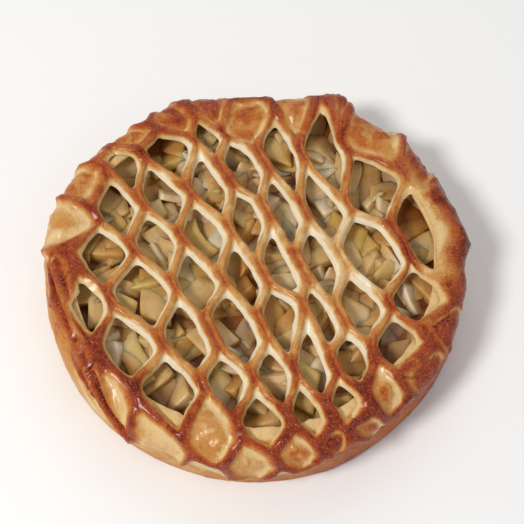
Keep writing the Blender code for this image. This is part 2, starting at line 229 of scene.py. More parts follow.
def makePiece(name, points, faces, paints, material, node):
    # quads over the points, welded where they meet; a paint is one number for each vertex, as an attribute
    mesh = bpy.data.meshes.new(name)
    mesh.from_pydata(points.reshape(-1, 3).tolist(), [], faces.reshape(-1, 4).tolist())
    for paint, values in paints.items():
        layer = mesh.attributes.new(paint, "FLOAT", "POINT")
        layer.data.foreach_set("value", np.asarray(values, dtype=np.float32).ravel())
    work = bmesh.new()
    work.from_mesh(mesh)
    bmesh.ops.remove_doubles(work, verts=work.verts, dist=weldReach)
    flat = [face for face in work.faces if face.calc_area() < leastArea]
    bmesh.ops.delete(work, geom=flat, context="FACES_ONLY")
    closeSeams(work)
    if work.calc_volume(signed=True) < 0.0:
        bmesh.ops.reverse_faces(work, faces=work.faces)
    loose = [vert for vert in work.verts if not vert.link_faces]
    bmesh.ops.delete(work, geom=loose, context="VERTS")
    work.to_mesh(mesh)
    work.free()
    mesh.shade_smooth()
    piece = bpy.data.objects.new(name, mesh)
    bpy.context.scene.collection.objects.link(piece)
    mesh.materials.append(material)
    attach(piece, "root")
    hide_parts(node)
    print("made", name, "with", sum(len(face.vertices) - 2 for face in mesh.polygons), "triangles")


def fromScreen(red, green, blue):
    # screen colour from 0 to 255 as the light value a shader takes
    values = np.array([red, green, blue]) / 255.0
    light = np.where(values <= 0.04045, values / 12.92, ((values + 0.055) / 1.055) ** 2.4)
    return (*light.tolist(), 1.0)


def newMaterial(name):
    material = bpy.data.materials.new(name)
    material.use_nodes = True
    return material, material.node_tree, material.node_tree.nodes["Principled BSDF"]


def plug(tree, socket, value):
    # a socket takes another node's output or a plain value
    if isinstance(value, bpy.types.NodeSocket):
        tree.links.new(value, socket)
    else:
        socket.default_value = value


def plugAll(tree, shader, values):
    for name, value in values.items():
        plug(tree, shader.inputs[name], value)


def readPaint(tree, name):
    node = tree.nodes.new("ShaderNodeAttribute")
    node.attribute_name = name
    return node.outputs["Fac"]


def noiseNode(tree, scale, detail=3.0, roughness=0.55):
    place = tree.nodes.new("ShaderNodeTexCoord")
    node = tree.nodes.new("ShaderNodeTexNoise")
    plugAll(tree, node, {"Scale": scale, "Detail": detail, "Roughness": roughness})
    plug(tree, node.inputs["Vector"], place.outputs["Object"])
    return node.outputs["Fac"]


def mathNode(tree, operation, *values, clamp=False):
    node = tree.nodes.new("ShaderNodeMath")
    node.operation = operation
    node.use_clamp = clamp
    for socket, value in zip(node.inputs, values):
        plug(tree, socket, value)
    return node.outputs[0]


def spreadNode(tree, noise, size):
    # noise from 0 to 1 as a spread from -size / 2 to size / 2
    return mathNode(tree, "MULTIPLY_ADD", noise, size, -0.5 * size)


def rampNode(tree, factor, stops):
    node = tree.nodes.new("ShaderNodeValToRGB")
    ramp = node.color_ramp
    ramp.interpolation = "EASE"
    ramp.elements[0].position, ramp.elements[0].color = stops[0]
    ramp.elements[1].position, ramp.elements[1].color = stops[-1]
    for position, colour in stops[1:-1]:
        element = ramp.elements.new(position)
        element.color = colour
    plug(tree, node.inputs["Fac"], factor)
    return node.outputs["Color"]


def mixNode(tree, factor, first, second, blend="MIX"):
    node = tree.nodes.new("ShaderNodeMix")
    node.data_type = "RGBA"
    node.blend_type = blend
    plugAll(tree, node, {"Factor": factor, "A": first, "B": second})
    return node.outputs["Result"]


def bumpNode(tree, height, strength, distance, below=None):
    node = tree.nodes.new("ShaderNodeBump")
    plugAll(tree, node, {"Strength": strength, "Distance": distance, "Height": height})
    if below is not None:
        plug(tree, node.inputs["Normal"], below)
    return node.outputs["Normal"]


doughLook = {
    "stops": [
        (0.00, fromScreen(245, 232, 205)),
        (0.16, fromScreen(227, 193, 136)),
        (0.38, fromScreen(206, 144, 72)),
        (0.56, fromScreen(190, 101, 36)),
        (0.74, fromScreen(167, 64, 18)),
        (0.90, fromScreen(130, 37, 9)),
        (1.00, fromScreen(90, 24, 6)),
    ],
    # colour of tiny light specks: painted highlights on the glaze, partly its lighter bubbles
    "bubbleGlintSpeck": fromScreen(240, 186, 142),
    "grains": {"coarse": 140.0, "blister": 400.0, "fine": 1100.0, "bubbleGlintSpeck": 1000.0},
    "spreads": {"coarse": 0.34, "blister": -0.46, "fine": 0.14},
    "bubbleGlintSpecks": 0.62,
    "foldHeight": 0.0004,
    "skin": {
        "Subsurface Weight": 0.12,
        "Subsurface Radius": (1.0, 0.55, 0.25),
        "Subsurface Scale": 0.0022,
        "Specular IOR Level": 0.16,
        "Coat Roughness": 0.18,
    },
}


def doughMaterial(name, glaze, folded):
    # baked paint plus fine noise picks a colour from pale cream to dark brown
    material, tree, shader = newMaterial(name)
    grains, spreads = doughLook["grains"], doughLook["spreads"]
    bake = readPaint(tree, "bake")
    coarse = noiseNode(tree, grains["coarse"], 4.0)
    blisters = noiseNode(tree, grains["blister"], 4.0, 0.65)
    fine = noiseNode(tree, grains["fine"], 2.0)
    stain = spreadNode(tree, coarse, spreads["coarse"])
    grain = spreadNode(tree, fine, spreads["fine"])
    # the raised blister tops are painted paler: partly the glaze's own paler bubbles, partly painted
    # highlight
    fleck = spreadNode(tree, blisters, spreads["blister"])
    both = mathNode(tree, "ADD", mathNode(tree, "ADD", stain, grain), fleck)
    depth = mathNode(tree, "MULTIPLY_ADD", bake, 0.8, 0.25)
    level = mathNode(tree, "ADD", bake, mathNode(tree, "MULTIPLY", both, depth), clamp=True)
    # tiny light specks, most on the darker crust: painted highlights, partly the glaze's lighter bubbles
    bubbleGlintSpecks = noiseNode(tree, grains["bubbleGlintSpeck"], 1.0)
    lit = mathNode(tree, "MULTIPLY_ADD", bubbleGlintSpecks, 5.0, -2.95, clamp=True)
    lit = mathNode(tree, "MULTIPLY", lit, mathNode(tree, "MULTIPLY", level, doughLook["bubbleGlintSpecks"]))
    colour = mixNode(tree, lit, rampNode(tree, level, doughLook["stops"]), doughLook["bubbleGlintSpeck"])
    blistered = mathNode(tree, "MULTIPLY_ADD", level, 0.75, 0.15, clamp=True)
    rough = bumpNode(tree, coarse, 0.5, 0.0010)
    bubbled = bumpNode(tree, blisters, blistered, 0.0046, rough)
    pores = bumpNode(tree, fine, 0.5, 0.0008, bubbled)
    if folded:
        # stretch lines in the thin dough: sine of the piece's own fold count, as deep as its fold depth
        wander = mathNode(tree, "MULTIPLY_ADD", coarse, 9.0, readPaint(tree, "fold"))
        wave = mathNode(tree, "MULTIPLY", mathNode(tree, "SINE", wander), readPaint(tree, "foldDepth"))
        pores = bumpNode(tree, wave, 0.9, doughLook["foldHeight"], pores)
    shine = mathNode(tree, "MULTIPLY_ADD", level, -0.26, 0.58)
    plugAll(tree, shader, doughLook["skin"])
    plugAll(tree, shader, {"Base Color": colour, "Roughness": shine, "Coat Weight": glaze, "Normal": pores})
    return material


appleLook = {
    "stops": [
        (0.00, fromScreen(234, 221, 194)),
        (0.28, fromScreen(219, 186, 127)),
        (0.55, fromScreen(198, 147, 76)),
        (0.80, fromScreen(176, 113, 45)),
        (1.00, fromScreen(142, 80, 26)),
    ],
    "green": fromScreen(206, 178, 96),
    # a darker colour for the gaps between pieces: painted shade
    "creviceShade": fromScreen(134, 64, 14),
    "fibres": 320.0,
    "clouds": 70.0,
    "cloudSpread": 0.70,
    "skin": {
        "Roughness": 0.46,
        "Subsurface Weight": 0.55,
        "Subsurface Radius": (1.0, 0.75, 0.35),
        "Subsurface Scale": 0.0035,
        "Specular IOR Level": 0.25,
        "Coat Weight": 0.16,
        "Coat Roughness": 0.20,
    },
}


def appleMaterial(name):
    # each piece's tone picks a colour from cream to tan, greener by its green, darker by its painted shade
    material, tree, shader = newMaterial(name)
    fibre = noiseNode(tree, appleLook["fibres"])
    cloud = noiseNode(tree, appleLook["clouds"])
    spread = spreadNode(tree, cloud, appleLook["cloudSpread"])
    level = mathNode(tree, "ADD", readPaint(tree, "tone"), spread, clamp=True)
    colour = rampNode(tree, level, appleLook["stops"])
    colour = mixNode(tree, readPaint(tree, "green"), colour, appleLook["green"])
    colour = mixNode(tree, readPaint(tree, "shade"), colour, appleLook["creviceShade"], "MULTIPLY")
    soft = bumpNode(tree, cloud, 0.3, 0.0012)
    plugAll(tree, shader, appleLook["skin"])
    plugAll(tree, shader, {"Base Color": colour, "Normal": bumpNode(tree, fibre, 0.5, 0.0010, soft)})
    return material


# the slit net: columns of slits across, rows along, in millimetres on the flat sheet
net = {
    "columnAcross": {
        -8: -171.0, -7: -159.0, -6: -147.0, -5: -135.0, -4: -123.1, -3: -109.2, -2: -88.6, -1: -74.5,
        0: -62.3, 1: -48.5, 2: -35.8, 3: -26.8, 4: -15.4, 5: -6.4, 6: 5.4, 7: 15.2, 8: 31.4, 9: 43.5,
        10: 64.4, 11: 70.1, 12: 84.0, 13: 97.0, 14: 110.0, 15: 123.0, 16: 136.0,
    },
    "rowAlong": {
        -6: 168.0, -5: 150.0, -4: 132.0, -3: 114.0, -2: 92.0, -1: 76.6, 0: 65.6, 1: 35.7, 2: 10.1,
        3: -17.5, 4: -46.6, 5: -72.7, 6: -101.4, 7: -118.7, 8: -138.0, 9: -156.0, 10: -174.0, 11: -192.0,
    },
    "rowShift": 12.029,
    "rowClosing": -0.495,
    "risePerColumn": (4.986, -0.139, 0.033),
    "riseWithRow": (-1.635, -0.026, 0.218),
    "pulledJoins": {
        (3, -3): (4.0, 9.0), (4, -4): (1.5, 1.0), (4, 0): (0.7, 10.7), (-1, 2): (8.1, 0.8),
        (7, -4): (0.0, 7.7), (3, -1): (-0.6, 7.4), (7, -1): (-7.1, 1.8), (5, -3): (-1.0, -7.1),
        (3, -2): (-0.7, 6.6), (7, -3): (0.4, -6.6), (5, -4): (-1.4, -6.2), (6, 1): (-6.0, 0.9),
        (0, 0): (-5.2, 0.4), (6, -3): (5.1, 0.0), (2, -2): (-2.8, -4.0), (2, -1): (-1.1, 4.6),
        (7, 0): (-0.4, -4.6),
    },
    "longJoins": {
        (3, 0): 14.5, (3, 1): 15.7, (4, -1): 17.0, (5, -1): 12.0, (4, -2): 7.2, (2, -1): 10.4, (2, 2): 9.4,
        (3, -2): 7.9, (3, -1): 6.6, (5, -2): 8.2, (6, -3): 13.2, (5, 0): 8.5, (6, -1): 7.9, (6, 0): 6.3,
        (5, 1): 7.5, (4, -4): 9.0,
    },
    "joinHalfLength": 2.9,
    "joinShare": 0.52,
    "joinLean": 0.68,
    "edge": 0.1180,
    "edgeWaves": [
        (266, 0.015, 22), (237, 0.008, 9), (204, -0.005, 15), (312, 0.006, 16), (172, 0.003, 9),
        (22, 0.003, 12),
    ],
    "halfWidth": 0.0031,
    "cornerSoftness": 0.0034,
    "tall": 0.0064,
    "tallAtRim": 0.0046,
    "widened": [
        (190, 15, 0.1055, 0.008, 1.20), (222, 20, 0.112, 0.010, 0.35), (285, 40, 0.112, 0.010, 0.10),
        (325, 22, 0.106, 0.010, 0.30), (70, 60, 0.106, 0.009, 0.20), (150, 24, 0.106, 0.009, 0.25),
    ],
    # slits that the dough closed again: how high the web stands beside the strands, how brown it is
    "closed": {
        (7, -4): (1.00, 0.70), (7, -5): (1.00, 0.74), (7, -3): (0.78, 0.80), (7, -2): (0.70, 0.80),
        (7, -1): (0.50, 0.62), (6, -1): (0.40, 0.42), (6, 0): (0.45, 0.50), (7, 0): (0.45, 0.60),
        (6, 1): (0.40, 0.56), (5, 1): (0.80, 0.76), (5, 2): (0.40, 0.54), (4, 2): (0.48, 0.45),
        (4, 3): (0.35, 0.52), (3, 3): (0.30, 0.40), (2, 3): (0.46, 0.37), (3, 4): (0.30, 0.36),
        (2, 4): (0.26, 0.30), (1, 4): (0.34, 0.22), (0, 4): (0.36, 0.32), (-1, 4): (0.42, 0.40),
        (-2, 4): (0.36, 0.26), (-2, 3): (0.50, 0.52), (-3, 3): (0.50, 0.44), (-2, 2): (0.42, 0.34),
        (-2, 1): (0.50, 0.46), (-2, 0): (0.75, 0.60), (-1, -1): (0.60, 0.48), (-1, -2): (0.62, 0.56),
        (0, -2): (0.66, 0.54), (0, -3): (0.66, 0.56), (1, -3): (0.62, 0.56), (1, -4): (0.62, 0.56),
        (2, -3): (0.46, 0.46), (2, -4): (0.62, 0.56), (3, -4): (0.50, 0.34), (4, -5): (0.75, 0.60),
        (5, -5): (0.42, 0.50), (6, -5): (0.52, 0.62),
    },
    "strandSteps": 23,
    "joinSteps": 8,
    "topSteps": 10,
    "underSteps": 4,
    "rounding": 12,
    "padSoftness": 0.0056,
    "leaveAlong": 0.20,
    "leaveAcross": 0.09,
    # the way on the sheet that faces the key lamp: strand sides this way are broad and painted paler
    "litWays": (-0.90, -0.45),
    "blisterSize": 0.0034,
    "ragged": 0.0005,
    "wrinkle": 0.0016,
    "foldWidth": 0.0019,
    "ceiling": 0.0428,
    "ceilingRoom": 0.0012,
    "thinning": 0.0060,
    "pressed": -0.0006,
    "brownest": 0.79,
}


def netEdge(angle):
    # length from the middle to the net's outer edge
    ripple = 0.0012 * np.sin(angle * 17.0) + 0.0008 * np.sin(angle * 29.0)
    return net["edge"] + waves(angle, net["edgeWaves"]) + ripple


def joinPlace(a, b):
    # column place + row shift across; row place + rise by column along
    column = a - b
    row = a + b
    across = net["columnAcross"][column] + net["rowShift"] * row + net["rowClosing"] * row**2
    first, second, third = net["risePerColumn"]
    along = net["rowAlong"][row] + first * column + second * column**2 + third * column**3
    first, second, third = net["riseWithRow"]
    along += column * row * (first + second * column + third * row)
    pull = net["pulledJoins"].get((a, b), (0.0, 0.0))
    return np.array([across + pull[0], along + pull[1]]) * 0.001


def joinHalf(a, b):
    # half a join's length, before its neighbours are looked at
    return net["longJoins"].get((a, b), net["joinHalfLength"]) * 0.001


def joinFacts(a, b):
    # top end, bottom end, run, side way and how far its two ridges stand apart
    lean = net["joinLean"]
    above = mixed(joinPlace(a, b - 1), joinPlace(a - 1, b), lean)
    below = mixed(joinPlace(a, b + 1), joinPlace(a + 1, b), lean)
    run = (below - above) / np.linalg.norm(below - above)
    half = joinHalf(a, b)
    place = joinPlace(a, b)
    # two joins end to end may fill only part of the way between them, so that strands run slantwise
    room = 1.0
    for nearA, nearB in ((a + 1, b), (a, b + 1), (a - 1, b), (a, b - 1)):
        between = abs((joinPlace(nearA, nearB) - place) @ run)
        room = min(room, net["joinShare"] * between / (half + joinHalf(nearA, nearB)))
    half *= room
    side = np.array([-run[1], run[0]])
    apart = 0.0010 + 0.0008 * min(1.0, max(0.0, (half - 0.004) / 0.006))
    return place - run * half, place + run * half, run, side, apart


def bend(start, startRun, end, endRun, count):
    # cubic curve that leaves mostly along startRun and a little the straight way, and arrives the same way
    t = np.linspace(0.0, 1.0, count + 1)[:, None]
    span = np.linalg.norm(end - start)
    way = (end - start) / span
    first = start + (startRun * net["leaveAlong"] + way * net["leaveAcross"]) * span
    second = end - (endRun * net["leaveAlong"] + way * net["leaveAcross"]) * span
    return (1 - t) ** 3 * start + 3 * t * (1 - t) ** 2 * first + 3 * t * t * (1 - t) * second + t**3 * end


def straight(start, end, count):
    t = np.linspace(0.0, 1.0, count + 1)[:, None]
    return mixed(start, end, t)


def chain(top, middle, bottom, topSide, middleSide):
    # one strand beside a slit, from the join above, past the one beside it, to the one below
    strandSteps, joinSteps = net["strandSteps"], net["joinSteps"]
    parts = []
    for shift in (0.0, 1.0):
        # both ends of each of the three joins, on its middle line and then out on its ridge
        ends = []
        for join, side in ((top, topSide), (middle, middleSide), (bottom, topSide)):
            off = join[3] * join[4] * side * shift
            ends += [join[0] + off, join[1] + off]
        first = bend(ends[1], top[2], ends[2], middle[2], strandSteps)
        second = straight(ends[2], ends[3], joinSteps)
        third = bend(ends[3], middle[2], ends[4], bottom[2], strandSteps)
        line = np.concatenate([first, second[1:], third[1:]])
        if shift:
            above, below = straight(*ends[:2], 4), straight(*ends[4:], 4)
            line = np.concatenate([above[:-1], line, below[1:]])
        parts.append(line)
    return parts


def slitCells():
    # for every slit: its ring of sheet points, its two ridges and its middle line
    rings, ridges, middles, keys = [], [], [], []
    for a in range(-4, 11):
        for b in range(-8, 8):
            if not (-6 <= a - b <= 14 and -5 <= a + b <= 8):
                continue
            top, right = joinFacts(a, b), joinFacts(a + 1, b)
            bottom, left = joinFacts(a + 1, b + 1), joinFacts(a, b + 1)
            rightLine, rightRidge = chain(top, right, bottom, 1.0, -1.0)
            leftLine, leftRidge = chain(top, left, bottom, -1.0, 1.0)
            ring = np.concatenate([rightLine, leftLine[-2:0:-1]])
            length, angle = polar(ring)
            if (length > netEdge(angle) + 0.001).all():
                continue
            rings.append(ring)
            ridges.append(np.concatenate([rightRidge, leftRidge]))
            middles.append(0.5 * (rightLine + leftLine))
            keys.append((a, b))
    return np.array(rings), np.array(ridges), np.array(middles), keys


def distanceTo(points, ridges, softness):
    # distance from each cell's points to that cell's two ridges, blended where both are near:
    # the lesser, minus softness / 4 * (1 - gap between the two / softness)^2
    half = ridges.shape[1] // 2
    both = []
    for start in (0, half):
        least = np.full(points.shape[:-1], 1.0)
        first = ridges[:, start : start + half - 1]
        last = ridges[:, start + 1 : start + half]
        run = last - first
        size = np.maximum((run**2).sum(-1), 1e-14)
        for k in range(half - 1):
            gap = points - first[:, k, None, None, :]
            step = run[:, k, None, None, :]
            share = np.clip((gap * step).sum(-1) / size[:, k, None, None], 0.0, 1.0)
            away = gap - share[..., None] * step
            least = np.minimum(least, np.sqrt((away**2).sum(-1)))
        both.append(least)
    near = np.minimum(both[0], both[1])
    blend = np.maximum(1.0 - np.abs(both[0] - both[1]) / softness, 0.0)
    return np.maximum(near - 0.25 * softness * blend**2 * smoothStep(near, 0.0, 0.0015), 0.0)


def inSpace(sheet):
    return np.concatenate([sheet, np.zeros(sheet.shape[:-1] + (1,))], axis=-1)


def strandWidth(sheet):
    # half a strand's width at a place: its usual width, a little uneven, wider where the dough closed up
    length, angle = polar(sheet)
    wider = patches(length, angle, net["widened"])
    uneven = 0.15 * softNoise(inSpace(sheet), 0.022, 3) + 0.06 * softNoise(inSpace(sheet), 0.008, 5)
    return net["halfWidth"] * (1.0 + uneven + wider), wider


def ringOrder(last):
    # a ring's samples run down the right side to the last one, and back up the left side
    return np.concatenate([np.arange(last + 1), np.arange(last - 1, 0, -1)])


def slitRims(rings, ridges, middles, closed):
    # from each ring point towards the slit's middle line, until the strand's half width is behind
    last = middles.shape[1] - 1
    squeezed = last / 2.0 + (ringOrder(last) - last / 2.0) * 0.55
    low = np.floor(squeezed).astype(int)
    part = (squeezed - low)[None, :, None]
    high = np.minimum(low + 1, last)
    target = mixed(middles[:, low], middles[:, high], part)
    breadth = np.abs(rings[:, last // 2, 0] - rings[:, -(last // 2), 0])
    # the side of a strand that faces the left front, towards the key lamp, stands open and broad; it is
    # painted paler as painted light, and the side facing away browner as painted shade
    way = target - rings
    way = way / np.maximum(np.linalg.norm(way, axis=-1, keepdims=True), 1e-9)
    pale = smoothStep(way @ np.array(net["litWays"]), -0.35, 0.65)
    # so does the rim's own side towards the filling, on the left and on the right
    reach = np.linalg.norm(rings, axis=-1)
    inward = -(way * rings).sum(-1) / np.maximum(reach, 1e-9)
    beside = smoothStep(np.abs(rings[..., 0]) / np.maximum(reach, 1e-9), 0.35, 0.80)
    pale = np.maximum(pale, 0.8 * smoothStep(inward, 0.1, 0.8) * smoothStep(reach, 0.078, 0.094) * beside)
    width, wider = strandWidth(rings)
    isClosed = (closed[:, 0] > 0.0)[:, None]
    widest = (np.where(isClosed, 0.42, 0.28) + 0.28 * np.minimum(wider, 1.0)) * breadth[:, None]
    width = np.minimum(width * (0.86 + 0.34 * pale), widest)
    steps = np.linspace(0.0, 1.0, 41)
    path = rings[:, :, None, :] + (target - rings)[:, :, None, :] * steps[None, None, :, None]
    padSoftness = np.minimum(net["padSoftness"], 0.45 * breadth[:, None])
    softness = np.where(isClosed, padSoftness, net["cornerSoftness"])[:, :, None]
    away = distanceTo(path, ridges, softness)
    clear = away >= width[:, :, None]
    first = np.where(clear.any(axis=2), clear.argmax(axis=2), len(steps) - 1)
    share = np.where(isClosed, 1.0, steps[first])
    rim = rings + (target - rings) * share[..., None]
    # the openings have no corners: each rim point moves between its neighbours, time after time
    for _ in range(net["rounding"]):
        rim = 0.25 * np.roll(rim, 1, axis=1) + 0.5 * rim + 0.25 * np.roll(rim, -1, axis=1)
    ragged = net["ragged"] * softNoise(inSpace(rim), 0.0046, 6)
    rim = np.where(isClosed[:, :, None], rim, rim + way * ragged[..., None])
    rimAway = distanceTo(rim[:, :, None, :], ridges, softness)[:, :, 0]
    return rim, np.maximum(rimAway, 0.0006), pale, softness, breadth


# where the oven browned the rim more: degrees round, by how much, width in degrees
browner = [(214, 0.14, 30), (318, 0.15, 26), (275, 0.15, 30), (72, 0.13, 50)]


def bakeMap(sheet):
    # how brown the oven made each place: rim and left front most, the right middle least
    length, angle = polar(sheet)
    value = 0.46 + 0.24 * smoothStep(length, 0.060, 0.112)
    value = value + waves(angle, browner) * smoothStep(length, 0.078, 0.110)
    # the puffed roll on the right: pale inside, dark outside
    roll = sideBump(angle, 6, 24) * smoothStep(length, 0.088, 0.098)
    value = mixed(value, 0.07 + 0.80 * smoothStep(length, 0.099, 0.1125), roll)
    value = value - 0.24 * bump(sheet[..., 0], 0.052, 0.022) * bump(sheet[..., 1], -0.004, 0.030)
    return value - 0.06 * bump(sheet[..., 0], -0.010, 0.030) * bump(sheet[..., 1], -0.020, 0.040)


# the bundle's path over the flat sheet in millimetres, and its strands
rope = {
    "path": [(-107, -6), (-102, -27), (-96, -46), (-89, -61), (-83, -74), (-79, -87), (-75, -97),
             (-71, -106)],
    "halfWidth": 0.0072,
    "strand": 0.0050,
    "twist": 0.10,
    "depth": 0.0040,
}


def ropeField(sheet):
    # twisted bundle down the left side: how much of it is here, and where across its strands
    stops = np.array(rope["path"]) * 0.001
    least = np.full(sheet.shape[:-1], 1.0)
    across = np.zeros(sheet.shape[:-1])
    along = np.zeros(sheet.shape[:-1])
    passed = 0.0
    for start, end in zip(stops[:-1], stops[1:]):
        run = end - start
        size = np.linalg.norm(run)
        run = run / size
        gap = sheet - start
        ahead = np.clip(gap @ run, 0.0, size)
        away = gap - ahead[..., None] * run
        distance = np.linalg.norm(away, axis=-1)
        nearer = distance < least
        side = np.sign(away[..., 0] * run[1] - away[..., 1] * run[0])
        least = np.where(nearer, distance, least)
        across = np.where(nearer, distance * side, across)
        along = np.where(nearer, passed + ahead, along)
        passed += size
    share = 1.0 - smoothStep(least, 0.6 * rope["halfWidth"], rope["halfWidth"])
    # each strand is round, sqrt(half + half a cosine of its width), with a soft groove on either side
    place = (across + rope["twist"] * along) / rope["strand"]
    return share, np.sqrt(0.5 - 0.5 * np.cos(math.tau * place))


def nearJoin():
    # 1 along a join and at a ring's two ends, falling off over a few samples of the strands between
    steps, joinSteps = net["strandSteps"], net["joinSteps"]
    last = 2 * steps + joinSteps
    index = ringOrder(last)
    away = np.minimum(index, last - index)
    away = np.minimum(away, np.maximum(np.maximum(steps - index, index - steps - joinSteps), 0))
    return np.exp(-((away / 5.2) ** 2))


def agree(sheet, values):
    # where cells share a point of the sheet, and where a web's two halves meet, all take the mean
    for column in (0, net["topSteps"], net["topSteps"] + 1, -1):
        places = np.round(sheet[:, :, column].reshape(-1, 2) / 0.000001).astype(np.int64)
        group = np.unique(places, axis=0, return_inverse=True)[1].ravel()
        mean = np.bincount(group, values[:, :, column].ravel()) / np.bincount(group)
        values[:, :, column] = mean[group].reshape(values.shape[:2])
    return values


def netPlaces():
    # each slit's ring of points carried over the strands, down the slit's wall and back underneath
    rings, ridges, middles, keys = slitCells()
    closed = np.array([net["closed"].get(key, (0.0, 0.0)) for key in keys])
    isClosed = (closed[:, 0] > 0.0)[:, None, None]
    rimLine, rimAway, pale, softness, breadth = slitRims(rings, ridges, middles, closed)
    half = math.pi / 2.0
    under = np.linspace(half, math.pi, net["underSteps"] + 1)[1:]
    turn = np.concatenate([np.linspace(0.0, half, net["topSteps"] + 1), under])
    # a web's underside starts at the middle line, right below its top, and has no wall between the two
    walls = isClosed & (np.arange(len(turn)) == net["topSteps"] + 1)
    spread = np.where(walls, 1.0, np.sin(turn) ** 0.8)
    sheet = rings[:, :, None, :] + (rimLine - rings)[:, :, None, :] * spread[..., None]
    fromRing = np.linalg.norm(sheet - rings[:, :, None, :], axis=-1)
    leaving = smoothStep(fromRing, 0.0002, 0.0018)
    away = distanceTo(sheet, ridges, softness)
    # a strand's own width on its ridge, the way to the rim of the opening further out
    own, wider = strandWidth(sheet)
    widest = (0.42 + 0.28 * np.minimum(wider, 1.0)) * breadth[:, None, None]
    reach = np.where(isClosed, np.minimum(own, widest), rimAway[:, :, None])
    width = own + (reach - own) * leaving
    ratio = np.clip(away / width, 0.0, 1.0)
    fading = np.where(isClosed, 1.0 - smoothStep(spread, 0.5, 1.0), 1.0)
    length, angle = polar(sheet)
    place = inSpace(sheet)
    joined = nearJoin()[None, :, None]
    # a bundle of twisted strands runs down the left side
    bundle, ridge = ropeField(sheet)
    bundle = bundle * smoothStep(length, 0.088, 0.096)
    bundle = bundle * (1.0 - np.where(isClosed, 0.0, leaving * smoothStep(ratio, 0.35, 0.85)))
    # a closed slit holds a web that domes up from a groove beside the strands
    beside = away - width
    widestGap = np.minimum(0.0034, 0.80 * beside.max(axis=(1, 2)))[:, None, None]
    return SimpleNamespace(
        sheet=sheet, length=length, angle=angle, place=place, fromRing=fromRing, leaving=leaving, ratio=ratio,
        beside=beside, dome=smoothStep(beside / np.maximum(widestGap, 0.0004), -0.18, 1.0), walls=walls,
        upper=(turn <= half + 1e-9) & np.ones_like(ratio, dtype=bool), rim=smoothStep(length, 0.078, 0.104),
        openSide=0.5 + (pale[:, :, None] - 0.5) * leaving * fading, pale=pale[:, :, None],
        joined=joined, groove=joined**2 * bump(fromRing, 0.0, 0.0008), bundle=bundle, ridge=ridge,
        blister=smoothStep(softNoise(place, net["blisterSize"], 13), 0.15, 0.75),
        isClosed=isClosed, webTall=closed[:, 0][:, None, None], webBake=closed[:, 1][:, None, None],
    )


def netHeight(at):
    # height over the bed, and how much of the web shows at each point
    tall = net["tall"] + (net["tallAtRim"] - net["tall"]) * at.rim
    tall = tall + 0.0006 * softNoise(at.place, 0.019, 11) + 0.0004 * softNoise(at.place, 0.006, 12)
    waist = 0.36 * tall
    under = -0.0012 + 0.0004 * at.rim
    # strand section: height falls from the ridge as (1 - ratio^steep)^late, to a waist on the slit's wall
    section = (1.0 - at.ratio ** (2.5 - 0.9 * at.openSide)) ** (0.7 + 0.3 * at.openSide)
    rough = at.rim * (0.7 + 0.9 * sideBump(at.angle, 6, 26))
    top = mixed(waist, tall, section) - 0.0006 * at.groove + 0.00045 * at.blister * (0.35 + rough)
    web = at.webTall * tall * (0.62 + 0.38 * np.maximum(at.dome, smoothStep(at.webTall, 0.7, 1.0)))
    web = web + 0.0007 * layeredNoise(at.place, 0.0075, 14) + 0.0006 * at.blister
    blend = np.clip(0.5 + (web - top) / 0.0012, 0.0, 1.0) * smoothStep(at.fromRing, 0.0, 0.0022)
    top = np.where(at.isClosed, mixed(top, web, blend), top)
    bottom = np.where(at.isClosed, under, mixed(waist, under, section))
    lift = np.where(at.upper, top, bottom)
    # the puffed roll on the right is wrinkled along its length
    puffed = sideBump(at.angle, 4, 24) * bump(at.length, 0.113, 0.010)
    wrinkled = layeredNoise(at.place * np.array([1.0, 0.55, 1.0]), 0.0046, 15)
    lift = lift + at.upper * puffed * net["wrinkle"] * wrinkled
    rise = np.maximum(lift, 0.62 * tall) * 0.4 + 0.6 * 0.8 * tall + rope["depth"] * (at.ridge - 0.6)
    return np.where(at.upper, mixed(lift, rise, at.bundle), lift), blend


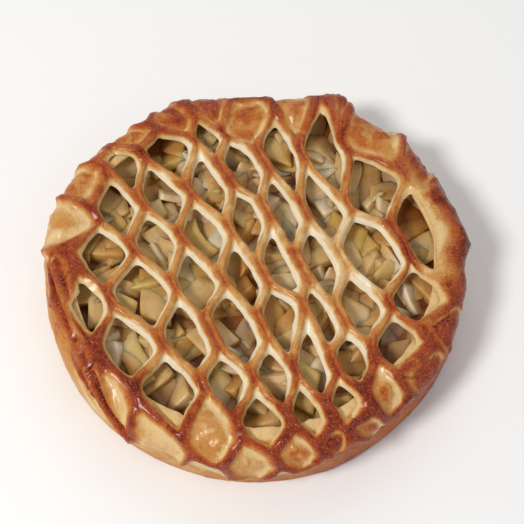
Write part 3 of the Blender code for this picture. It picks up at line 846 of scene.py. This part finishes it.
def netBake(at, blend):
    # ridges brown most, joins more than the strands between, slit walls stay pale
    rim = at.rim
    # on the side facing the key lamp the brown crown ends sooner: painted light
    spill = at.ratio * at.leaving + (at.openSide - 0.5) * 0.42 * (1.0 - 0.6 * rim)
    spill = spill + 0.12 * softNoise(at.place, 0.007, 25) + 0.07 * softNoise(at.place, 0.0026, 26)
    crown = 1.0 - smoothStep(spill, 0.40, 0.86 + 0.06 * rim)
    baked = bakeMap(at.sheet)
    patch = layeredNoise(at.place, 0.016, 21) * (0.15 + 0.06 * rim)
    patch = patch + softNoise(at.place, 0.004, 22) * (0.06 + 0.04 * rim)
    ridgeBake = baked + patch + 0.20 * (at.joined - 0.45) * (1.0 - 0.5 * rim)
    ridgeBake = np.minimum(ridgeBake + 0.14 * at.groove - 0.08 * at.blister, net["brownest"] + 0.5 * patch)
    # at the rim the flank is paler on the lit side and browner on the side facing away: painted light and
    # shade over the walls' own pale dough
    flank = 0.03 + (0.15 + 0.16 * (1.0 - at.openSide)) * rim
    bake = mixed(flank, ridgeBake, crown)
    # a web's middle, and its margin beside the strands; at the back both are as brown as the strands
    webBake = at.webBake + 0.10 * smoothStep(at.angle, -2.9, -1.9) * rim * smoothStep(at.webBake, 0.36, 0.42)
    backRim = sideBump(at.angle, 88, 46)
    middle = webBake + 0.20 * layeredNoise(at.place, 0.009, 24) - 0.14 * at.blister * rim
    middle = np.minimum(middle + 0.10 * backRim, net["brownest"] + 0.3 * patch)
    margin = 0.14 + 0.5 * (webBake - 0.3) + 0.5 * smoothStep(at.webTall, 0.6, 0.95) * webBake
    # a web's margin is browner where it faces away from the key lamp: painted shade
    margin = margin + 0.22 * (1.0 - at.pale) * (1.0 - backRim) + 0.24 * backRim
    webSkin = margin + (middle - margin) * np.maximum(at.dome, smoothStep(at.webTall, 0.8, 1.0))
    solid = smoothStep(at.webTall, 0.9, 1.0)
    webSkin = mixed(webSkin, baked + patch, solid)
    bake = np.where(at.isClosed, mixed(bake, webSkin, blend), bake)
    bake = mixed(bake, 0.90 - 0.38 * at.ridge + 0.5 * patch, at.bundle)
    bake = np.where(at.upper | at.isClosed, bake, 0.04 + 0.08 * rim)
    return agree(at.sheet, np.clip(bake, 0.0, 1.0))


def netFolds(at, blend):
    # fine creases: round the thin webs at the left front, and across the puffed roll's inner side
    atRoll = turnFrom(at.angle, 4)
    around = math.tau * at.angle * 0.113 / net["foldWidth"] + 4.0 * softNoise(at.place, 0.006, 29)
    fold = np.where(np.abs(atRoll) < 60.0, around, math.tau * at.beside / net["foldWidth"])
    thinDough = (1.0 - smoothStep(at.webBake, 0.26, 0.34)) * sideBump(at.angle, 248, 24)
    depth = np.where(at.isClosed, blend * thinDough, 0.0)
    depth = depth * smoothStep(softNoise(at.place, 0.014, 27), -0.5, 0.3)
    creased = smoothStep(softNoise(at.place, 0.009, 28), -0.3, 0.5)
    return fold, depth + 0.5 * creased * at.upper * bump(atRoll, 0.0, 20) * bump(at.length, 0.104, 0.005)


def makeNet(material):
    at = netPlaces()
    lift, blend = netHeight(at)
    # towards the outer edge the dough thins to nothing as sqrt(1 - (1 - room)^2), pressed on to the crust
    edge = netEdge(at.angle)
    beyond = at.length > edge
    room = np.clip((edge - at.length) / net["thinning"], 0.0, 1.0)
    thin = np.sqrt(1.0 - (1.0 - room) ** 2)
    lift = np.where(at.upper, (lift - net["pressed"]) * thin + net["pressed"], lift)
    lift = np.where(beyond, 2.0 * net["pressed"], lift)
    pull = np.where(beyond, edge / np.maximum(at.length, 1e-6), 1.0)
    points = draped(at.sheet * pull[..., None], agree(at.sheet, lift))
    # above the ceiling the height grows ever less: room * (1 - exp(-height above it / room))
    above = np.maximum(points[..., 2] - net["ceiling"], 0.0)
    points[..., 2] += net["ceilingRoom"] * (1.0 - np.exp(-above / net["ceilingRoom"])) - above
    faces = loopFaces(at.length.shape)
    faces = faces[~(beyond.ravel()[faces].all(axis=-1) | at.walls[:, :, 1:])]
    fold, foldDepth = netFolds(at, blend)
    paints = {"bake": netBake(at, blend), "fold": fold, "foldDepth": foldDepth}
    makePiece("dough_net", points, faces, paints, material, "lattice_top")


# inside and beneath are radius and height along the crust's profile
shell = {
    "inside": [(0.0, 0.0070), (0.05, 0.0070), (0.1005, 0.0070), (0.1035, 0.0090), (0.1045, 0.0130),
               (0.1045, 0.026), (0.1025, 0.0300), (0.1005, 0.0330), (0.0985, 0.0362)],
    "beneath": [(0.1085, 0.0), (0.06, 0.0), (0.0, 0.0)],
    "footRound": (0.0035, 0.004),
    "turns": 600,
    "side": 0.27,
    "sideBrown": [(320, 0.33, 56), (120, 0.14, 60)],
}


def shellBake(angles, place, length):
    # pale dough low on the left front, golden patches, tan on the right, brown up at the rim
    tall = place[..., 2]
    bake = shell["side"] + waves(angles, shell["sideBrown"])
    bake = bake + 0.12 * smoothStep(tall, 0.020, 0.037) + 0.20 * layeredNoise(place, 0.020, 41)
    # streaks slant up the side: noise stretched along one diagonal
    slant = np.stack([angles * 0.110 + 0.9 * tall, 0.16 * (angles * 0.110 - tall), 0.0 * angles], axis=-1)
    bake = bake + 0.16 * layeredNoise(slant, 0.0075, 43) + 0.12 * smoothStep(0.010 - tall, 0.0, 0.010)
    inside = 1.0 - smoothStep(length, 0.104, 0.110)
    return np.clip(mixed(bake, 0.20, inside), 0.04, 0.92)


def makeShell(material):
    # a closed profile carried round the pie, its outer stretch lifted by wrinkles and blisters
    lengths = np.concatenate([np.linspace(0.0992, 0.1270, 42), np.linspace(0.1276, bedLength[-1], 26)])
    turn = np.linspace(0.0, math.pi / 2.0, 9)[1:]
    foot = np.stack([pie["sideRadius"] - shell["footRound"][0] * (1.0 - np.cos(turn)),
                     shell["footRound"][1] * (1.0 - np.sin(turn))], axis=-1)
    outer = np.stack([np.interp(lengths, bedLength, line) for line in (bedRadius, bedHeight)], axis=-1)
    radius, height = np.concatenate([shell["inside"], outer, foot, shell["beneath"]]).T
    before, after = len(shell["inside"]), len(shell["beneath"])
    outside = np.pad(np.ones(len(outer) + len(foot)), (before, after))
    along = np.concatenate([[0.0], np.cumsum(np.hypot(np.diff(radius), np.diff(height)))])
    out, up = -np.gradient(height, along), np.gradient(radius, along)
    size = np.maximum(np.hypot(out, up), 1e-9)
    angles, place = carriedRound(radius, height, shell["turns"])
    length = np.pad(lengths, (before, 0))
    length = np.pad(length, (0, len(radius) - len(length)), constant_values=bedLength[-1]) + 0.0 * angles
    stretched = place * np.array([1.0, 1.0, 0.45])
    wrinkle = 0.0009 * layeredNoise(stretched, 0.022, 31) + 0.0004 * layeredNoise(stretched, 0.008, 32)
    pits = 0.0003 * softNoise(place, 0.0035, 33)
    lumps = 0.0016 * (1.0 - smoothStep(length, 0.103, 0.110)) * layeredNoise(place, 0.007, 34)
    lift = outside * (wrinkle + pits + lumps) * smoothStep(height, 0.0, 0.006)
    lift = (lift + patches(length, angles, swells) * outside) / size
    moved = radius + lift * out
    points = waved(np.stack([moved * np.cos(angles), moved * np.sin(angles), height + lift * up], axis=-1))
    paints = {"bake": shellBake(angles, place, length)}
    makePiece("crust_side", points, loopFaces(angles.shape), paints, material, "crust_shell")


# cut sizes are halves, in metres; bends are per metre of length squared, turns are radians
apple = {
    "count": 216,
    "seed": 24,
    "facets": 5,
    "crowding": 0.75,
    "long": (0.0078, 0.0130),
    "wide": (0.0062, 0.0100),
    "thick": (0.0028, 0.0054),
    "soft": (0.0006, 0.0012),
    "wedge": (0.0, 0.50),
    "curve": (-22.0, 30.0),
    "bow": (-10.0, 10.0),
    "shear": ((-0.5, 0.5), (-0.4, 0.4)),
    "tip": 0.24,
    "roll": 0.34,
    "reach": 0.0985,
    "stray": 0.0035,
    "level": (0.0220, 0.0272),
    "top": 0.0325,
    "bottom": 0.0110,
    "wall": 0.1030,
}


def roundedBlock(steps):
    # points of a cube's six grids, and the faces between them
    line = np.linspace(-1.0, 1.0, steps + 1)
    first, second = np.meshgrid(line, line, indexing="ij")
    edge = np.ones_like(first)
    sides = [(edge, first, second), (-edge, second, first), (second, edge, first), (first, -edge, second),
             (first, second, edge), (second, first, -edge)]
    points = np.concatenate([np.stack(side, axis=-1).reshape(-1, 3) for side in sides])
    grid = np.arange((steps + 1) ** 2).reshape(steps + 1, steps + 1)
    quads = np.stack([grid[:-1, :-1], grid[1:, :-1], grid[1:, 1:], grid[:-1, 1:]], axis=-1).reshape(-1, 4)
    faces = np.concatenate([quads + k * (steps + 1) ** 2 for k in range(6)])
    return points, faces


def turned(first, second, angle):
    return first * np.cos(angle) - second * np.sin(angle), first * np.sin(angle) + second * np.cos(angle)


def cutPieces(draw):
    # rounded blocks: the block's points held inside a smaller core, then pushed out by the edge's radius
    count = apple["count"]
    block, faces = roundedBlock(apple["facets"])
    # edges crowd to the block's borders so that flat cuts keep their flats
    block = np.sign(block) * np.abs(block) ** apple["crowding"]
    long, wide, thick = (draw.uniform(*apple[side], count) for side in ("long", "wide", "thick"))
    half = np.stack([long, wide, thick], axis=-1)[:, None, :]
    soft = draw.uniform(*apple["soft"], count)[:, None, None]
    body = np.clip(block * half, soft - half, half - soft)
    away = block * half - body
    body = body + away / np.maximum(np.linalg.norm(away, axis=-1, keepdims=True), 1e-9) * soft
    # wedge: thinner to one side; slice: bent along its length; shear: cuts that aren't square
    x, y, z = body[..., 0], body[..., 1], body[..., 2]
    z *= 1.0 - draw.uniform(*apple["wedge"], count)[:, None] * 0.5 * (1.0 + y / wide[:, None])
    y += draw.uniform(*apple["curve"], count)[:, None] * (x**2 - (long[:, None] * 0.6) ** 2)
    z += draw.uniform(*apple["bow"], count)[:, None] * x**2
    x += draw.uniform(*apple["shear"][0], count)[:, None] * y
    y += draw.uniform(*apple["shear"][1], count)[:, None] * z
    faces = faces + (np.arange(count) * len(block))[:, None, None]
    return x, y, z, faces


def makeApples(material):
    draw = np.random.default_rng(apple["seed"])
    count = apple["count"]
    x, y, z, faces = cutPieces(draw)
    # tip, then spin, then place on a sunflower spread
    tip = draw.normal(0.0, apple["tip"], count)[:, None]
    roll = draw.normal(0.0, apple["roll"], count)[:, None]
    spin = draw.uniform(0.0, math.tau, count)[:, None]
    y, z = turned(y, z, roll)
    x, z = turned(x, z, tip)
    x, y = turned(x, y, spin)
    order = np.arange(count)
    radius = apple["reach"] * np.sqrt((order + 0.5) / count)
    angle = order * math.radians(137.508)
    shift = draw.uniform(-apple["stray"], apple["stray"], (count, 2))
    x = x + (radius * np.cos(angle) + shift[:, 0])[:, None]
    y = y + (radius * np.sin(angle) + shift[:, 1])[:, None]
    z = z + draw.uniform(*apple["level"], count)[:, None]
    z = z - np.maximum(z.max(axis=1, keepdims=True) - apple["top"], 0.0)
    z = np.maximum(z, apple["bottom"])
    points = np.stack([x, y, z], axis=-1)
    points = points + 0.0003 * np.stack([softNoise(points, 0.004, 51 + k) for k in range(3)], axis=-1)
    squeeze = np.minimum(1.0, apple["wall"] / np.maximum(polar(points)[0], 1e-6))
    points[..., :2] *= squeeze[..., None]
    paints = {
        "tone": 0.12 + 0.52 * draw.beta(1.5, 2.2, count)[:, None] + np.zeros_like(z),
        # shade: painted shade, lower pieces darker towards the crevice colour, as the gaps between them fall
        # in shade
        "shade": 0.10 + smoothStep(0.0302 - z, 0.0, 0.0080) * 0.90,
        "green": np.clip(draw.uniform(-1.2, 0.7, count), 0.0, 1.0)[:, None] + np.zeros_like(z),
    }
    makePiece("apple_pieces", waved(points), faces, paints, material, "apple_filling")


juice = {
    "reach": 0.1025,
    "level": 0.0250,
    "rings": 56,
    "turns": 160,
    "below": [(0.1031, 0.0230), (0.1031, 0.0140), (0.0990, 0.0074), (0.0, 0.0074)],
    "lumps": 0.0022,
    "lumpSize": 0.011,
    "tone": 0.72,
    # shade: painted shade over the whole bed, as it shows only in the shaded gaps between the pieces
    "shade": 0.60,
}


def makeJuiceBed(material):
    # a low closed disc of soft cooked fruit under the pieces, its top lumpy
    rings = np.linspace(0.0, juice["reach"], juice["rings"])
    radius, height = np.concatenate([[(ring, juice["level"]) for ring in rings], juice["below"]]).T
    angles, points = carriedRound(radius, height, juice["turns"])
    lumps = juice["lumps"] * layeredNoise(points, juice["lumpSize"], 61)
    lumps = lumps * smoothStep(points[..., 0] ** 2 + points[..., 1] ** 2, 0.0, 1e-5)
    points[..., 2] += np.pad(np.ones(juice["rings"]), (0, len(juice["below"]))) * lumps
    points = waved(points)
    tone = juice["tone"] + 0.2 * layeredNoise(points, 0.012, 62)
    # the tone is the cooked fruit's own colour; the shade paint darkens the bed as painted shade
    paints = {"tone": tone, "shade": np.full_like(tone, juice["shade"]), "green": np.zeros_like(tone)}
    makePiece("juice_bed", points, loopFaces(angles.shape), paints, material, "apple_filling")


view = {
    "target": (0.0044, 0.0042, 0.020),
    "distance": 0.600,
    "elevation": 63.0,
    "focal": 214.6 * 5.0 / 524.0 * 36.0,
}


def stand(name, data, place, target):
    # a camera or lamp at its place, looking at the target
    item = bpy.data.objects.new(name, data)
    item.location = place
    item.rotation_mode = "QUATERNION"
    item.rotation_quaternion = (Vector(target) - Vector(place)).to_track_quat("-Z", "Y")
    bpy.context.scene.collection.objects.link(item)
    return item


def makeCamera():
    rise = math.radians(view["elevation"])
    target = Vector(view["target"])
    back = Vector((0.0, -math.cos(rise), math.sin(rise)))
    data = bpy.data.cameras.new("photo_camera")
    data.sensor_width = 36.0
    data.lens = view["focal"]
    data.clip_start = 0.01
    data.clip_end = 20.0
    place = target + back * view["distance"]
    bpy.context.scene.camera = stand("photo_camera", data, place, target)


lights = {
    "key": {"place": (-1.00, -0.62, 1.50), "size": 0.50, "power": 22.0, "colour": (1.0, 0.98, 0.95)},
    "fill": {"place": (1.30, -0.70, 1.40), "size": 1.60, "power": 3.2, "colour": (0.95, 0.98, 1.0)},
    "back": {"place": (0.20, 1.50, 1.50), "size": 1.60, "power": 6.5, "colour": (1.0, 1.0, 1.0)},
}


def makeStudio():
    for name, facts in lights.items():
        data = bpy.data.lights.new(name + "_light", "AREA")
        data.shape = "DISK"
        data.size = facts["size"]
        data.energy = facts["power"]
        data.color = facts["colour"]
        stand(name + "_light", data, facts["place"], (0.0, 0.0, 0.02))
    world = bpy.data.worlds.new("studio_air")
    world.use_nodes = True
    air = world.node_tree.nodes["Background"]
    air.inputs["Color"].default_value = (1.0, 1.0, 1.0, 1.0)
    air.inputs["Strength"].default_value = 0.36
    bpy.context.scene.world = world
    mesh = bpy.data.meshes.new("pale_floor")
    reach = 4.0
    corners = [(-reach, -reach, 0.0), (reach, -reach, 0.0), (reach, reach, 0.0), (-reach, reach, 0.0)]
    mesh.from_pydata(corners, [], [(0, 1, 2, 3)])
    floor = bpy.data.objects.new("pale_floor", mesh)
    bpy.context.scene.collection.objects.link(floor)
    material, tree, shader = newMaterial("pale_floor")
    plugAll(tree, shader, {"Base Color": (0.97, 0.97, 0.97, 1.0), "Roughness": 0.9})
    mesh.materials.append(material)


bpy.context.scene.view_settings.view_transform = "Standard"
makeCamera()
makeStudio()
print("camera, lights and floor stand")
crustMaterial = doughMaterial("baked_crust", 0.05, False)
netMaterial = doughMaterial("glazed_crust", 0.36, True)
fruitMaterial = appleMaterial("cooked_apple")
makeShell(crustMaterial)
makeJuiceBed(fruitMaterial)
makeApples(fruitMaterial)
makeNet(netMaterial)
